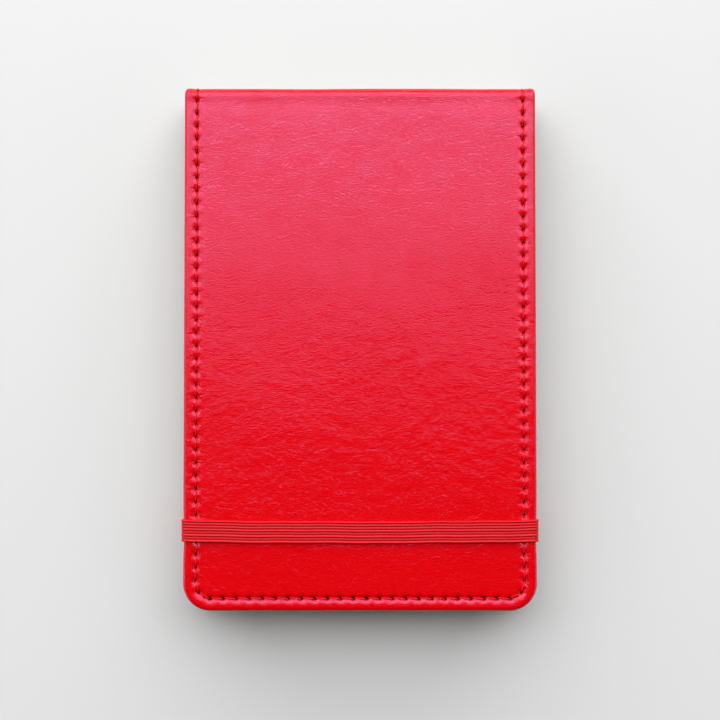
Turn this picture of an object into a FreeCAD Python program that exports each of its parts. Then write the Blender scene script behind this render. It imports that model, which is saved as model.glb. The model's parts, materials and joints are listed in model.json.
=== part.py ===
import FreeCAD, Part
import Sketcher
import math
import os

# Top-hinged pocket notebook: a stitched leatherette case, a sewn block of paper held to
# the back cover, and an elastic band that keeps the front cover shut.
# It lies on its back cover. Millimetres, +Z up, spine towards +Y, origin under its middle.

doc = FreeCAD.newDocument("pocket_notebook")
sizes = doc.addObject("Spreadsheet::Sheet", "sizes")

DRIVING = [
    ("table_level", 0.0),
    ("cover_width", 89.5),
    ("cover_length", 133.0),
    ("corner_radius", 7.0),
    ("skin_thickness", 0.8),
    ("board_thickness", 1.2),
    ("lining_thickness", 0.2),
    ("knuckle_gap", 0.25),
    ("section_count", 12),
    ("section_thickness", 0.8),
    ("fold_radius", 0.35),
    ("paste_paper_thickness", 0.2),
    ("flyleaf_thickness", 0.2),
    ("resting_gap", 0.15),
    ("page_side_margin", 3.9),
    ("page_foot_margin", 3.9),
    ("page_corner_radius", 5.0),
    ("section_hinge_from_spine", 8.0),
    ("flyleaf_hinge_from_spine", 6.0),
    ("leaf_gap", 0.2),
    ("spine_clearance", 0.5),
    ("glue_thickness", 0.3),
    ("mull_thickness", 0.1),
    ("mull_flange", 15.0),
    ("liner_thickness", 0.2),
    ("binding_inset", 2.0),
    ("sewing_stations", 5),
    ("sewing_thread_diameter", 0.3),
    ("stitch_inset", 3.25),
    ("stitch_pitch", 3.3),
    ("stitch_rest", 0.8),
    ("stitch_diameter", 0.45),
    ("groove_width", 0.7),
    ("groove_depth", 0.5),
    ("elastic_width", 5.7),
    ("elastic_thickness", 0.6),
    ("elastic_from_foot", 20.1),
    ("elastic_clearance", 0.1),
    ("elastic_corner_radius", 0.5),
    ("tab_length", 10.0),
]
DERIVED = [
    ("cover_thickness", "skin_thickness + board_thickness + lining_thickness"),
    ("knuckle_radius", "cover_thickness / 2"),
    ("block_thickness", "section_count * section_thickness"),
    ("block_floor", "cover_thickness + 2 * paste_paper_thickness"),
    ("block_top", "block_floor + block_thickness"),
    ("flyleaf_floor", "block_top + resting_gap"),
    ("flyleaf_top", "flyleaf_floor + flyleaf_thickness"),
    ("front_floor", "flyleaf_top + resting_gap"),
    ("total_thickness", "front_floor + cover_thickness"),
    ("half_width", "cover_width / 2"),
    ("half_length", "cover_length / 2"),
    ("spine_axis_y", "half_length - knuckle_radius"),
    ("front_axis_z", "total_thickness - knuckle_radius"),
    ("cover_head", "spine_axis_y - knuckle_radius - knuckle_gap"),
    ("tray_half_width", "half_width - skin_thickness"),
    ("tray_foot", "half_length - skin_thickness"),
    ("tray_head", "cover_head - skin_thickness"),
    ("tray_radius", "corner_radius - skin_thickness"),
    ("page_half_width", "half_width - page_side_margin"),
    ("page_foot", "half_length - page_foot_margin"),
    ("page_head", "spine_axis_y - knuckle_radius - spine_clearance - glue_thickness"
                  " - mull_thickness - liner_thickness"),
    ("section_hinge_y", "page_head - section_hinge_from_spine"),
    ("flyleaf_hinge_y", "page_head - flyleaf_hinge_from_spine"),
    ("binding_half_width", "page_half_width - binding_inset"),
    ("elastic_y", "elastic_from_foot - half_length"),
    ("elastic_inner_half", "half_width + elastic_clearance"),
    ("elastic_outer_half", "elastic_inner_half + elastic_thickness"),
    ("elastic_inner_top", "total_thickness + elastic_clearance"),
    ("elastic_outer_top", "elastic_inner_top + elastic_thickness"),
    ("tab_floor", "cover_thickness - lining_thickness - elastic_thickness"),
]
for line, (alias, value) in enumerate(DRIVING + DERIVED, start=1):
    sizes.set(f"A{line}", alias)
    sizes.set(f"B{line}", f"={value}" if isinstance(value, str) else str(value))
    sizes.setAlias(f"B{line}", alias)
doc.recompute()


def size(alias):
    """The value of one named size."""
    return float(getattr(sizes, alias))


def linked(formula):
    """A formula of sheet names as an expression that objects can follow."""
    words = formula.replace("(", " ( ").replace(")", " ) ").split()
    return " ".join("sizes." + word if word[0].isalpha() else word for word in words)


def sheet_value(formula):
    """A formula of named sizes worked out now, for a sketch's first guess."""
    result = sizes.evalExpression(linked(formula).replace("sizes.", ""))
    return float(getattr(result, "Value", result))


def new_body(label):
    body = doc.addObject("PartDesign::Body", label)
    body.Label = label
    return body


def new_sketch(body, name, role, offset=None):
    """A sketch on one of the body's origin planes, moved along its normal by a formula."""
    sketch = body.newObject("Sketcher::SketchObject", name)
    plane = [o for o in body.Origin.OriginFeatures if o.Role == role][0]
    sketch.AttachmentSupport = [(plane, "")]
    sketch.MapMode = "FlatFace"
    if offset:
        sketch.setExpression(".AttachmentOffset.Base.z", linked(offset))
    return sketch


def tie(sketch, kind, places, name, formula):
    """One dimension of a sketch, held to a formula of named sizes."""
    guess = sheet_value(formula)
    index = sketch.addConstraint(Sketcher.Constraint(kind, *places, guess))
    sketch.renameConstraint(index, name)
    sketch.setExpression(f".Constraints.{name}", linked(formula))


def vector(x, y):
    return FreeCAD.Vector(x, y, 0)


def draw_leaf(sketch, tag, half_width, foot, head, radius):
    """A closed outline: square at the spine end, two rounded corners at the foot."""
    w, f, h, r = [sheet_value(term) for term in (half_width, foot, head, radius)]
    first = sketch.GeometryCount
    left, foot_line, right, head_line, arc_left, arc_right = range(first, first + 6)
    up = FreeCAD.Vector(0, 0, 1)
    sketch.addGeometry([
        Part.LineSegment(vector(-w, h), vector(-w, r - f)),
        Part.LineSegment(vector(r - w, -f), vector(w - r, -f)),
        Part.LineSegment(vector(w, r - f), vector(w, h)),
        Part.LineSegment(vector(w, h), vector(-w, h)),
        Part.ArcOfCircle(Part.Circle(vector(r - w, r - f), up, r), math.pi, 1.5 * math.pi),
        Part.ArcOfCircle(Part.Circle(vector(w - r, r - f), up, r), -math.pi / 2, 0),
    ])
    sketch.addConstraint([
        Sketcher.Constraint("Tangent", left, 2, arc_left, 1),
        Sketcher.Constraint("Tangent", arc_left, 2, foot_line, 1),
        Sketcher.Constraint("Tangent", foot_line, 2, arc_right, 1),
        Sketcher.Constraint("Tangent", arc_right, 2, right, 1),
        Sketcher.Constraint("Coincident", right, 2, head_line, 1),
        Sketcher.Constraint("Coincident", head_line, 2, left, 1),
        Sketcher.Constraint("Vertical", left),
        Sketcher.Constraint("Vertical", right),
        Sketcher.Constraint("Horizontal", foot_line),
        Sketcher.Constraint("Symmetric", head_line, 1, head_line, 2, -2),
    ])
    sketch.addConstraint(Sketcher.Constraint("Equal", arc_left, arc_right))
    tie(sketch, "Radius", (arc_left,), f"radius_{tag}", radius)
    tie(sketch, "DistanceX", (-1, 1, right, 2), f"half_width_{tag}", half_width)
    tie(sketch, "DistanceY", (foot_line, 1, -1, 1), f"foot_{tag}", foot)
    tie(sketch, "DistanceY", (-1, 1, head_line, 1), f"head_{tag}", head)


def draw_box(sketch, tag, low_u, high_u, low_v, high_v):
    """A rectangle whose four sides each stand at a formula from the sketch's origin."""
    u0, u1, v0, v1 = [sheet_value(term) for term in (low_u, high_u, low_v, high_v)]
    first = sketch.GeometryCount
    corners = [vector(u0, v0), vector(u1, v0), vector(u1, v1), vector(u0, v1)]
    for number in range(4):
        sketch.addGeometry(Part.LineSegment(corners[number], corners[(number + 1) % 4]))
    for number in range(4):
        sketch.addConstraint(Sketcher.Constraint(
            "Coincident", first + number, 2, first + (number + 1) % 4, 1))
    for number, kind in enumerate(("Horizontal", "Vertical", "Horizontal", "Vertical")):
        sketch.addConstraint(Sketcher.Constraint(kind, first + number))
    tie(sketch, "DistanceX", (-1, 1, first, 1), f"low_u_{tag}", low_u)
    tie(sketch, "DistanceX", (-1, 1, first, 2), f"high_u_{tag}", high_u)
    tie(sketch, "DistanceY", (-1, 1, first, 1), f"low_v_{tag}", low_v)
    tie(sketch, "DistanceY", (-1, 1, first + 2, 1), f"high_v_{tag}", high_v)


def pad(body, sketch, name, length, symmetric=False):
    feature = body.newObject("PartDesign::Pad", name)
    feature.Profile = sketch
    if symmetric:
        feature.SideType = "Symmetric"
    feature.setExpression("Length", linked(length))
    doc.recompute()
    return feature


def pocket(body, sketch, name, length, reverse=False, symmetric=False):
    """A cut that must take something away, or the build stops."""
    before = body.Shape.Volume
    feature = body.newObject("PartDesign::Pocket", name)
    feature.Profile = sketch
    feature.Reversed = reverse
    if symmetric:
        feature.SideType = "Symmetric"
    feature.setExpression("Length", linked(length))
    doc.recompute()
    assert body.Shape.Volume < before, f"{body.Label} {name} cuts nothing"
    return feature


def rounded(body, name, radius, chosen):
    """Round the edges of the body that a test on their two ends picks out."""
    tip = body.Tip
    edges = [
        f"Edge{number}"
        for number, edge in enumerate(tip.Shape.Edges, start=1)
        if len(edge.Vertexes) == 2 and all(chosen(vertex.Point) for vertex in edge.Vertexes)
    ]
    feature = body.newObject("PartDesign::Fillet", name)
    feature.Base = (tip, edges)
    feature.setExpression("Radius", linked(radius))
    doc.recompute()


def plate(label, floor, thickness, half_width, foot, head, radius):
    """A flat sheet or board with rounded foot corners."""
    body = new_body(label)
    sketch = new_sketch(body, f"{label}_outline", "XY_Plane", floor)
    draw_leaf(sketch, "edge", half_width, foot, head, radius)
    pad(body, sketch, f"{label}_pad", thickness)
    return body


def bar(label, role, offset, depth, *sides, symmetric=False):
    """A rectangular piece padded from one of the origin planes."""
    body = new_body(label)
    sketch = new_sketch(body, f"{label}_section", role, offset)
    draw_box(sketch, "edge", *sides)
    pad(body, sketch, f"{label}_pad", depth, symmetric)
    return body


def same_place(value, target):
    return abs(value - target) < 1e-4


# ---- case: two stiff covers, each a leatherette skin turned round a board and lined

def cover_skin(label, floor, outer_face, at_back):
    """The outer leatherette: a tray for the board, grooved where the thread lies."""
    body = plate(label, floor, "cover_thickness", "half_width", "half_length", "cover_head",
                 "corner_radius")
    tray_floor = "skin_thickness" if at_back else floor
    tray = new_sketch(body, f"{label}_tray", "XY_Plane", tray_floor)
    draw_leaf(tray, "edge", "tray_half_width", "tray_foot", "tray_head", "tray_radius")
    pocket(body, tray, f"{label}_tray_cut", "cover_thickness - skin_thickness", reverse=True)
    groove = new_sketch(body, f"{label}_groove", "XY_Plane", outer_face)
    for tag, side in (("outer", "+"), ("inner", "-")):
        shift = f"- stitch_inset {side} groove_width / 2"
        draw_leaf(groove, tag, f"half_width {shift}", f"half_length {shift}",
                  f"half_length {side} groove_width", f"corner_radius {shift}")
    pocket(body, groove, f"{label}_groove_cut", "groove_depth", reverse=at_back)
    return body


def back_skin():
    body = cover_skin("back_skin", "table_level", "table_level", at_back=True)
    slot = new_sketch(body, "back_skin_slot", "YZ_Plane")
    draw_box(slot, "tab", "elastic_y - elastic_width / 2", "elastic_y + elastic_width / 2",
             "tab_floor", "tab_floor + elastic_thickness")
    pocket(body, slot, "back_skin_slot_cut", "2 * cover_width", symmetric=True)


def front_skin():
    cover_skin("front_skin", "front_floor", "total_thickness", at_back=False)


def cover_board(label, floor):
    return plate(label, floor, "board_thickness", "tray_half_width", "tray_foot",
                 "tray_head", "tray_radius")


def back_board():
    """The back board is pressed in at both sides where the elastic's ends lie."""
    body = cover_board("back_board", "skin_thickness")
    seat = new_sketch(body, "back_board_seats", "XY_Plane", "tab_floor + elastic_thickness")
    for tag, low, high in (
        ("left", "0 - half_width", "tab_length - half_width"),
        ("right", "half_width - tab_length", "half_width"),
    ):
        draw_box(seat, tag, low, high, "elastic_y - elastic_width / 2",
                 "elastic_y + elastic_width / 2")
    pocket(body, seat, "back_board_seat_cut", "elastic_thickness")


def cover_lining(label, floor):
    plate(label, floor, "lining_thickness", "tray_half_width", "tray_foot", "tray_head",
          "tray_radius")


# ---- spine: a narrow panel with a round knuckle along each long edge

def spine_skin():
    """The leatherette over the spine, its half-round ends centred on the two folds."""
    body = new_body("spine_skin")
    profile = new_sketch(body, "spine_skin_profile", "YZ_Plane")
    y, r = size("spine_axis_y"), size("knuckle_radius")
    low, high = size("knuckle_radius"), size("front_axis_z")
    up = FreeCAD.Vector(0, 0, 1)
    profile.addGeometry([
        Part.LineSegment(vector(y + r, low), vector(y + r, high)),
        Part.ArcOfCircle(Part.Circle(vector(y, high), up, r), 0, math.pi),
        Part.LineSegment(vector(y - r, high), vector(y - r, low)),
        Part.ArcOfCircle(Part.Circle(vector(y, low), up, r), math.pi, 2 * math.pi),
    ])
    for number, other in ((0, 1), (1, 2), (2, 3), (3, 0)):
        profile.addConstraint(Sketcher.Constraint("Tangent", number, 2, other, 1))
    profile.addConstraint(Sketcher.Constraint("Vertical", 0))
    tie(profile, "Radius", (1,), "knuckle", "knuckle_radius")
    tie(profile, "DistanceX", (-1, 1, 1, 3), "fold_y", "spine_axis_y")
    tie(profile, "DistanceY", (-1, 1, 3, 3), "back_fold_z", "knuckle_radius")
    tie(profile, "DistanceY", (-1, 1, 1, 3), "front_fold_z", "front_axis_z")
    pad(body, profile, "spine_skin_pad", "cover_width", symmetric=True)
    pocket_for_core(body)
    grooves = new_sketch(body, "spine_skin_grooves", "XZ_Plane", "0 - half_length")
    for tag, side in (("left", "0 -"), ("right", "0 +")):
        middle = f"{side} half_width {'+' if tag == 'left' else '-'} stitch_inset"
        draw_box(grooves, tag, f"{middle} - groove_width / 2", f"{middle} + groove_width / 2",
                 "0 - cover_width", "cover_width")
    pocket(body, grooves, "spine_skin_groove_cut", "groove_depth", reverse=True)


def pocket_for_core(body):
    """The hollow behind the spine's leatherette that takes the card strip and its lining."""
    core = new_sketch(body, "spine_skin_core", "XZ_Plane",
                      "knuckle_radius - spine_axis_y")
    draw_box(core, "strip", "0 - tray_half_width", "tray_half_width",
             "knuckle_radius + skin_thickness / 2", "front_axis_z - skin_thickness / 2")
    pocket(body, core, "spine_skin_core_cut", "cover_thickness - skin_thickness")


def spine_core(label, outer_face, thickness):
    """A strip in the spine's hollow; its outer face is measured out from the spine's inside."""
    bar(label, "XZ_Plane", f"knuckle_radius - spine_axis_y - {outer_face}", thickness,
        "0 - tray_half_width", "tray_half_width",
        "knuckle_radius + skin_thickness / 2", "front_axis_z - skin_thickness / 2")


# ---- paper: endpapers and folded sections

def page_plate(label, floor, thickness, head):
    return plate(label, floor, thickness, "page_half_width", "page_foot", head,
                 "page_corner_radius")


def round_fold(body, floor):
    """Round the two edges that run the whole width where the sheets are folded."""
    head, half = size("page_head"), size("page_half_width")
    levels = (floor, floor + size("section_thickness"))
    tip = body.Tip
    names = []
    for number, edge in enumerate(tip.Shape.Edges, start=1):
        ends = [vertex.Point for vertex in edge.Vertexes]
        if len(ends) != 2 or not same_place(abs(ends[0].x - ends[1].x), 2 * half):
            continue
        if same_place(ends[0].y, head) and any(same_place(ends[0].z, z) for z in levels):
            names.append(f"Edge{number}")
    feature = body.newObject("PartDesign::Fillet", f"{body.Label}_fold_round")
    feature.Base = (tip, names)
    feature.setExpression("Radius", linked("fold_radius"))
    doc.recompute()


def sections():
    """All the sections but the first lie fixed, each a bundle of folded sheets."""
    count = int(size("section_count"))
    for number in range(count, 1, -1):
        below = count - number
        floor = f"block_floor + {below} * section_thickness"
        body = page_plate(f"section_{number:02d}", floor, "section_thickness", "page_head")
        round_fold(body, size("block_floor") + below * size("section_thickness"))


def first_section():
    """The first section turns; its folded edge stays bound at the spine."""
    floor = "block_top - section_thickness"
    page_plate("section_01", floor, "section_thickness", "section_hinge_y")
    fold = bar("section_01_fold", "XY_Plane", floor, "section_thickness",
               "0 - page_half_width", "page_half_width",
               "section_hinge_y + leaf_gap", "page_head")
    round_fold(fold, size("block_top") - size("section_thickness"))


def endpapers():
    pasted = page_plate("back_pastedown", "cover_thickness", "paste_paper_thickness",
                        "page_head")
    relief = new_sketch(pasted, "back_pastedown_relief", "XY_Plane", "cover_thickness")
    draw_box(relief, "flange", "0 - binding_half_width", "binding_half_width",
             "page_head - mull_flange", "cover_length")
    pocket(pasted, relief, "back_pastedown_relief_cut", "mull_thickness", reverse=True)
    page_plate("back_flyleaf", "cover_thickness + paste_paper_thickness",
               "paste_paper_thickness", "page_head")
    page_plate("front_flyleaf", "flyleaf_floor", "flyleaf_thickness", "flyleaf_hinge_y")
    bar("front_flyleaf_strip", "XY_Plane", "block_top", "flyleaf_thickness",
        "0 - page_half_width", "page_half_width", "flyleaf_hinge_y + leaf_gap", "page_head")


# ---- binding: thread, glue, cloth and paper over the back of the folds

def sewing_places():
    count = int(size("sewing_stations"))
    span = 2 * size("binding_half_width")
    return [span * (number + 0.5) / count - span / 2 for number in range(count)]


def sewing_thread():
    """The thread that runs from section to section at each sewing station."""
    radius = size("sewing_thread_diameter") / 2
    runs = [
        Part.makeCylinder(radius, size("block_thickness"), FreeCAD.Vector(
            x, size("page_head") + radius, size("block_floor")))
        for x in sewing_places()
    ]
    piece = doc.addObject("Part::Feature", "sewing_thread")
    piece.Shape = Part.makeCompound(runs)


def spine_glue():
    """The glue over the folds, open where each run of thread lies."""
    layer = doc.addObject("Part::Box", "spine_glue_layer")
    layer.setExpression("Length", linked("2 * binding_half_width"))
    layer.setExpression("Width", linked("glue_thickness"))
    layer.setExpression("Height", linked("block_thickness"))
    layer.setExpression(".Placement.Base.x", linked("0 - binding_half_width"))
    layer.setExpression(".Placement.Base.y", linked("page_head"))
    layer.setExpression(".Placement.Base.z", linked("block_floor"))
    channels = []
    for number in range(int(size("sewing_stations"))):
        channel = doc.addObject("Part::Box", f"thread_channel_{number}")
        channel.setExpression("Length", linked("sewing_thread_diameter"))
        channel.setExpression("Width", linked("sewing_thread_diameter"))
        channel.setExpression("Height", linked("block_thickness"))
        place = f"2 * binding_half_width * {number + 0.5} / sewing_stations"
        channel.setExpression(".Placement.Base.x", linked(
            f"{place} - binding_half_width - sewing_thread_diameter / 2"))
        channel.setExpression(".Placement.Base.y", linked("page_head"))
        channel.setExpression(".Placement.Base.z", linked("block_floor"))
        channels.append(channel)
    cutters = doc.addObject("Part::MultiFuse", "thread_channels")
    cutters.Shapes = channels
    glue = doc.addObject("Part::Cut", "spine_glue")
    glue.Base = layer
    glue.Tool = cutters
    doc.recompute()


def mull():
    """Open cloth over the glue, its flange turned in under the pasted endpaper."""
    body = new_body("mull")
    profile = new_sketch(body, "mull_profile", "YZ_Plane")
    inner, thick = size("page_head") + size("glue_thickness"), size("mull_thickness")
    floor, top = size("cover_thickness"), size("block_top")
    start = size("page_head") - size("mull_flange")
    points = [(start, floor), (inner + thick, floor), (inner + thick, top), (inner, top),
              (inner, floor + thick), (start, floor + thick)]
    for number, (u, v) in enumerate(points):
        following = points[(number + 1) % len(points)]
        profile.addGeometry(Part.LineSegment(vector(u, v), vector(*following)))
    for number in range(6):
        profile.addConstraint(Sketcher.Constraint("Coincident", number, 2,
                                                  (number + 1) % 6, 1))
        kind = "Vertical" if number % 2 else "Horizontal"
        profile.addConstraint(Sketcher.Constraint(kind, number))
    tie(profile, "DistanceX", (-1, 1, 0, 1), "flange_end", "page_head - mull_flange")
    tie(profile, "DistanceX", (-1, 1, 0, 2), "back_face",
        "page_head + glue_thickness + mull_thickness")
    tie(profile, "DistanceX", (-1, 1, 3, 1), "glue_face", "page_head + glue_thickness")
    tie(profile, "DistanceY", (-1, 1, 0, 1), "floor_level", "cover_thickness")
    tie(profile, "DistanceY", (-1, 1, 2, 1), "top_level", "block_top")
    tie(profile, "DistanceY", (-1, 1, 4, 1), "flange_top", "cover_thickness + mull_thickness")
    pad(body, profile, "mull_pad", "2 * binding_half_width", symmetric=True)


def spine_liner():
    bar("spine_liner", "XY_Plane", "cover_thickness",
        "block_top - cover_thickness", "0 - binding_half_width", "binding_half_width",
        "page_head + glue_thickness + mull_thickness",
        "page_head + glue_thickness + mull_thickness + liner_thickness")


# ---- stitching: rows of short visible threads along the case's edges

def capsule():
    """One visible stitch, lying along X, its two ends rounded where it dives."""
    radius = size("stitch_diameter") / 2
    reach = (size("stitch_pitch") - size("stitch_rest")) / 2 - radius
    across = FreeCAD.Vector(1, 0, 0)
    shape = Part.makeCylinder(radius, 2 * reach, FreeCAD.Vector(-reach, 0, 0), across)
    for end in (-reach, reach):
        shape = shape.fuse(Part.makeSphere(radius, FreeCAD.Vector(end, 0, 0)))
    return shape.removeSplitter()


def stitch_place(run):
    """Position and heading after a run down the left side and round to the foot's middle."""
    inset = size("stitch_inset")
    half, foot = size("half_width") - inset, size("half_length") - inset
    radius = size("corner_radius") - inset
    side = size("tray_head") + foot - radius
    if run < side:
        return -half, size("tray_head") - run, -90.0
    turn = (run - side) / radius
    if turn < math.pi / 2:
        return (radius * (1 - math.cos(turn)) - half, radius * (1 - math.sin(turn)) - foot,
                math.degrees(turn) - 90)
    return run - side - radius * math.pi / 2 + radius - half, -foot, 0.0


def edge_path():
    """Positions and headings of the stitches round a cover, the right half a mirror image."""
    inset = size("stitch_inset")
    straight = size("tray_head") + size("half_length") + size("half_width") - 2 * inset
    radius = size("corner_radius") - inset
    total = 2 * (straight - radius * (2 - math.pi / 2))
    count = int(total // size("stitch_pitch"))
    places = []
    for number in range(count):
        run = total * (number + 0.5) / count
        x, y, heading = stitch_place(min(run, total - run))
        places.append((x, y, heading) if run < total / 2 else (-x, y, -heading))
    return places


def cover_stitching(label, outer_level, inner_level):
    """Both faces of the lockstitch that closes the skin, board and lining of a cover."""
    stitch = capsule()
    threads = []
    up = FreeCAD.Vector(0, 0, 1)
    for x, y, heading in edge_path():
        for level in (outer_level, inner_level):
            thread = stitch.copy()
            thread.Placement = FreeCAD.Placement(
                FreeCAD.Vector(x, y, level), FreeCAD.Rotation(up, heading))
            threads.append(thread)
    piece = doc.addObject("Part::Feature", label)
    piece.Shape = Part.makeCompound(threads)


def spine_stitching():
    """The short rows that carry the stitching across the spine."""
    stitch = capsule()
    x = size("half_width") - size("stitch_inset")
    y = size("half_length") - size("groove_depth") + size("stitch_diameter") / 2
    low, high = size("knuckle_radius"), size("front_axis_z")
    count = int((high - low) // size("stitch_pitch"))
    upright = FreeCAD.Rotation(FreeCAD.Vector(0, 1, 0), 90)
    threads = []
    for number in range(count):
        z = low + (high - low) * (number + 0.5) / count
        for side in (-x, x):
            thread = stitch.copy()
            thread.Placement = FreeCAD.Placement(FreeCAD.Vector(side, y, z), upright)
            threads.append(thread)
    piece = doc.addObject("Part::Feature", "spine_stitching")
    piece.Shape = Part.makeCompound(threads)


def stitching():
    radius = size("stitch_diameter") / 2
    sunk = size("groove_depth") - radius
    cover_stitching("back_stitching", sunk, size("cover_thickness") + radius)
    cover_stitching("front_stitching", size("total_thickness") - sunk,
                    size("front_floor") - radius)
    spine_stitching()


# ---- elastic: a flat woven band with its two ends sewn into the back cover

def elastic_tabs():
    """The band's ends, trapped between the board and lining of the back cover."""
    for side, low, high in (
        ("left", "0 - half_width", "tab_length - half_width"),
        ("right", "half_width - tab_length", "half_width"),
    ):
        bar(f"elastic_end_{side}", "XY_Plane", "tab_floor", "elastic_thickness", low, high,
            "elastic_y - elastic_width / 2", "elastic_y + elastic_width / 2")


def elastic_band():
    """The stretched part: across the front cover and down both sides."""
    body = new_body("elastic_band")
    outer = new_sketch(body, "elastic_band_outer", "XZ_Plane", "0 - elastic_y")
    draw_box(outer, "edge", "0 - elastic_outer_half", "elastic_outer_half", "tab_floor",
             "elastic_outer_top")
    pad(body, outer, "elastic_band_pad", "elastic_width", symmetric=True)
    inner = new_sketch(body, "elastic_band_inner", "XZ_Plane", "0 - elastic_y")
    draw_box(inner, "edge", "0 - elastic_inner_half", "elastic_inner_half",
             "0 - cover_width", "elastic_inner_top")
    pocket(body, inner, "elastic_band_cut", "2 * elastic_width", symmetric=True)
    half, top = size("elastic_outer_half"), size("elastic_outer_top")
    rounded(body, "elastic_band_shoulders", "elastic_corner_radius", lambda point: same_place(
        abs(point.x), half) and same_place(point.z, top) and point.y < 0)


def main_pieces():
    back_skin()
    back_board()
    cover_lining("back_lining", "cover_thickness - lining_thickness")
    front_skin()
    cover_board("front_board", "front_floor + lining_thickness")
    cover_lining("front_lining", "front_floor")
    spine_skin()
    spine_core("spine_lining", "lining_thickness", "lining_thickness")
    spine_core("spine_card", "lining_thickness - board_thickness", "board_thickness")
    endpapers()
    sections()
    first_section()
    sewing_thread()
    spine_glue()
    mull()
    spine_liner()
    stitching()
    elastic_tabs()
    elastic_band()


NODES = [
    "back_skin", "back_board", "back_lining", "back_stitching", "elastic_end_left",
    "elastic_end_right", "back_pastedown", "back_flyleaf", "section_01_fold",
    "front_flyleaf_strip", "sewing_thread", "spine_glue", "mull", "spine_liner",
    "spine_skin", "spine_card", "spine_lining", "spine_stitching", "front_skin",
    "front_board", "front_lining", "front_stitching", "front_flyleaf", "section_01",
    "elastic_band",
]

main_pieces()
doc.recompute()
NODES += [f"section_{number:02d}" for number in range(2, int(size("section_count")) + 1)]
for item in doc.Objects:
    assert not {"Invalid", "Error"} & set(item.State), (item.Label, item.State)
os.makedirs("parts", exist_ok=True)
for node in NODES:
    found = doc.getObjectsByLabel(node)[0]
    assert not found.Shape.isNull() and found.Shape.isValid(), node
    found.Shape.exportStep(f"parts/{node}.step")
print(len(NODES), "nodes written")
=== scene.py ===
import json
import math
import bpy
import numpy as np
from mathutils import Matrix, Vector


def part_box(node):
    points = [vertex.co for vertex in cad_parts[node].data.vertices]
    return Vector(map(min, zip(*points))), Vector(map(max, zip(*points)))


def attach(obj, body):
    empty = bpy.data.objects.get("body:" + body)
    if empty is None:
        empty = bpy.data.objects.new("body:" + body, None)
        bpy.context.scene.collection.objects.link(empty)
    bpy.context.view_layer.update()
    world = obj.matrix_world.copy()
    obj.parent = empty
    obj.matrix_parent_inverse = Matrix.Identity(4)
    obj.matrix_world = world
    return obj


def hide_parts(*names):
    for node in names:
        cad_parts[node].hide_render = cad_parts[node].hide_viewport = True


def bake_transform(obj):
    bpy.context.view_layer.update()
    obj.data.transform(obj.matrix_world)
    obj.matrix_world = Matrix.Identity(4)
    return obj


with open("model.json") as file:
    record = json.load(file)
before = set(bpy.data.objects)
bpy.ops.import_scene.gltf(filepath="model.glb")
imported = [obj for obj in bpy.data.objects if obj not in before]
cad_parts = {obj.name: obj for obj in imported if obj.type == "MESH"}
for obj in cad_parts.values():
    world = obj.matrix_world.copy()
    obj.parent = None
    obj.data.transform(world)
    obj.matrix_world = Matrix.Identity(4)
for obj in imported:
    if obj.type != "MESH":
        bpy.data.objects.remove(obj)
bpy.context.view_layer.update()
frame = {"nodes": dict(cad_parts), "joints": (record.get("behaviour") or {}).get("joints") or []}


# ---- View
# The notebook lies flat and is looked at from straight above, a little from the foot's side,
# from a hand's reach away.

front_low, front_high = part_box("front_skin")
lens = bpy.data.cameras.new("view from above")
lens.lens = 70
viewer = bpy.data.objects.new("view from above", lens)
bpy.context.collection.objects.link(viewer)
looked_at = Vector((0, -0.0031, front_high.z))
eye_toward_foot, eye_height = 0.0109, 0.3545
viewer.location = looked_at + Vector((0, -eye_toward_foot, eye_height))
viewer.rotation_euler = (looked_at - viewer.location).to_track_quat("-Z", "Y").to_euler()
bpy.context.scene.camera = viewer
bpy.context.scene.view_settings.view_transform = "Standard"


# ---- Leatherette case
# One sheet of red leatherette is turned round the two boards and the spine's card, so its edges
# are soft rolls and its two folds at the spine are round. It is cut as a flat pattern: x across,
# v along the length and on round the fold, h out of the surface, all in millimetres.

MM = 0.001
spine_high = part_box("spine_skin")[1]
half_width = front_high.x / MM
foot = -front_low.y / MM
head = spine_high.y / MM
total = spine_high.z / MM                 # thickness of the closed case
cover_thick = (front_high.z - front_low.z) / MM
corner = 7.0
elastic_low, elastic_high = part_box("elastic_band")
elastic_y = (elastic_low.y + elastic_high.y) / 2 / MM

fold_radius, crease_radius = 2.3, 0.3
fold_starts = head - fold_radius
fold_length = fold_radius * math.pi / 2
pattern_end = fold_starts + fold_length + total / 2 - fold_radius


def fold(x, v, h, at_back=False):
    """Carry points of the flat pattern onto the case: over the cover, round the fold, down
    the spine. The back half is the same, turned over."""
    crease_y, crease_z = head - cover_thick - crease_radius, total - cover_thick - crease_radius
    # the inner face is shorter than the outer one, and takes that up over the last few mm
    ease = 4.0
    squeezed = fold_starts - ease + (v - fold_starts + ease) * (crease_y - fold_starts + ease) / ease
    inner_flat = np.where(v > fold_starts - ease, squeezed, v)
    turn = np.clip((v - fold_starts) / fold_radius, 0, math.pi / 2)
    drop = np.clip(v - fold_starts - fold_length, 0, None)
    on_cover = v <= fold_starts
    outer_y = np.where(on_cover, v, fold_starts + fold_radius * np.sin(turn))
    outer_z = np.where(on_cover, total, total - fold_radius * (1 - np.cos(turn)) - drop)
    inner_y = np.where(on_cover, inner_flat, crease_y + crease_radius * np.sin(turn))
    reach = (crease_z - total / 2) / (total / 2 - fold_radius)
    inner_z = np.where(on_cover, crease_z + crease_radius,
                       crease_z + crease_radius * np.cos(turn) - drop * reach)
    depth = -h / cover_thick
    y = outer_y + depth * (inner_y - outer_y)
    z = outer_z + depth * (inner_z - outer_z)
    return np.stack([x, y, total - z if at_back else z], 1) * MM


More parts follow.
